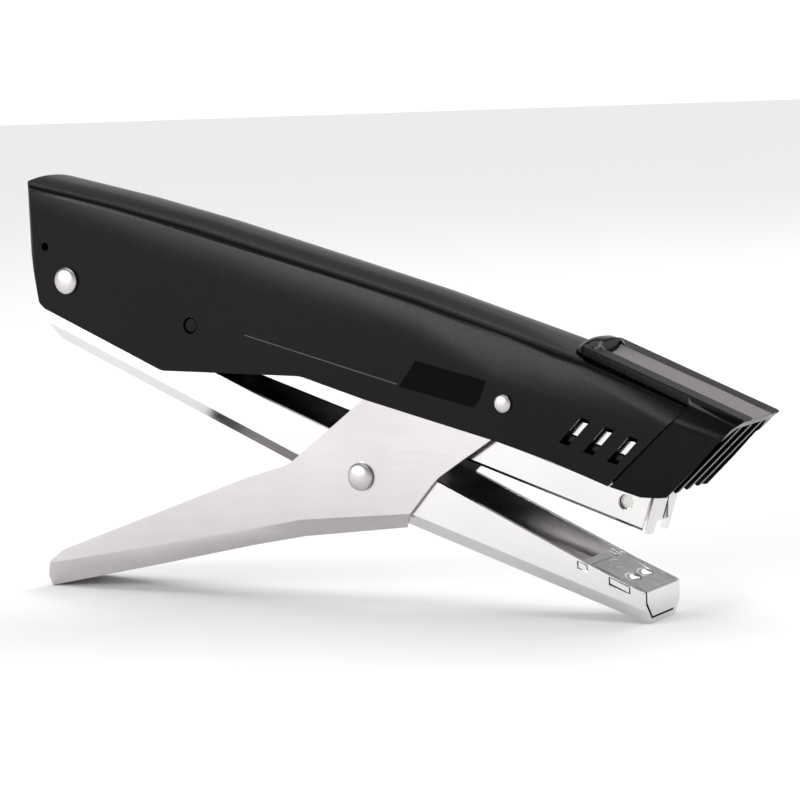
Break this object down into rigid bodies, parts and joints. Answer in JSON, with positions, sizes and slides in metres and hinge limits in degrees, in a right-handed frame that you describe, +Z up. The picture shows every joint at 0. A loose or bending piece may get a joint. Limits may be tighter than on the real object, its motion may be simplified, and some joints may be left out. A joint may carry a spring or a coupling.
{
  "type": "plier stapler",
  "caption": "Hand-held plier stapler: black cover and nose cap, bright magazine and anvil arm, satin squeeze handle.",
  "frame": {"origin": "middle of the underside of the bounding box, on the surface the stapler stands on", "axes": "+X towards the jaws, +Y across to the left side, +Z up"},
  "size_m": [0.1736, 0.025, 0.0934],
  "materials": {
    "black_paint": "satin black paint on folded steel",
    "gloss_plastic": "glossy black moulded plastic",
    "satin_nickel": "satin nickel plate",
    "chrome": "bright plating",
    "steel": "plain machined steel",
    "spring_steel": "oil-tempered spring steel",
    "staple_wire": "galvanised staple wire"
  },
  "bodies": {
    "cover": {"top_cover": "black_paint", "rear_rivet": "satin_nickel", "rear_bush": "steel", "fulcrum_rivet": "satin_nickel", "fulcrum_roller": "steel", "magazine_pivot_pin": "black_paint", "opening_spring": "spring_steel", "magazine_spring": "spring_steel", "cap_rail_guide": "steel", "driver_frame": "chrome", "driver_blade": "steel", "window_liner_right": "gloss_plastic", "window_liner_left": "gloss_plastic"},
    "nose_cap": {"nose_cap": "gloss_plastic", "cap_rail": "steel", "cap_rail_screw": "steel"},
    "anvil_arm": {"anvil_arm": "chrome", "anvil_plate": "chrome", "main_rivet": "satin_nickel", "main_bush": "steel"},
    "lower_handle": {"lower_handle": "satin_nickel", "handle_tip_pad": "gloss_plastic"},
    "magazine": {"magazine_channel": "chrome", "magazine_core": "chrome", "nose_plate": "chrome", "guide_rod": "steel", "magazine_end_block": "gloss_plastic", "magazine_pivot_bush": "steel", "staple_strip": "staple_wire", "pusher_spring": "spring_steel"},
    "pusher": {"staple_pusher": "gloss_plastic"}
  },
  "joints": [
    {"name": "jaw_hinge", "type": "hinge", "parent": "cover", "child": "anvil_arm", "pos_m": [-0.0754, 0, 0.0702], "axis": [0, -1, 0], "range_deg": [0, 6.5], "stiffness_Nm_per_rad": 3, "springref_deg": -28.65, "deforming": ["opening_spring"]},
    {"name": "handle_hinge", "type": "hinge", "parent": "anvil_arm", "child": "lower_handle", "pos_m": [-0.0014, 0, 0.0285], "axis": [0, -1, 0], "range_deg": [-17.3, 0]},
    {"name": "magazine_hinge", "type": "hinge", "parent": "cover", "child": "magazine", "pos_m": [-0.0427, 0, 0.0604], "axis": [0, -1, 0], "range_deg": [0, 3.3], "deforming": ["magazine_spring"]},
    {"name": "cap_slide", "type": "slide", "parent": "cover", "child": "nose_cap", "axis": [0.9291, 0, -0.3698], "range_m": [0, 0.025]},
    {"name": "pusher_slide", "type": "slide", "parent": "magazine", "child": "pusher", "axis": [0.95, 0, -0.3123], "range_m": [-0.032, 0], "stiffness_N_per_m": 50, "springref_m": 0.03, "deforming": ["pusher_spring"]}
  ],
  "couplings": [
    {"joint": "handle_hinge", "follows": "jaw_hinge", "ratio": -2.65},
    {"joint": "magazine_hinge", "follows": "jaw_hinge", "ratio": 0.5}
  ]
}
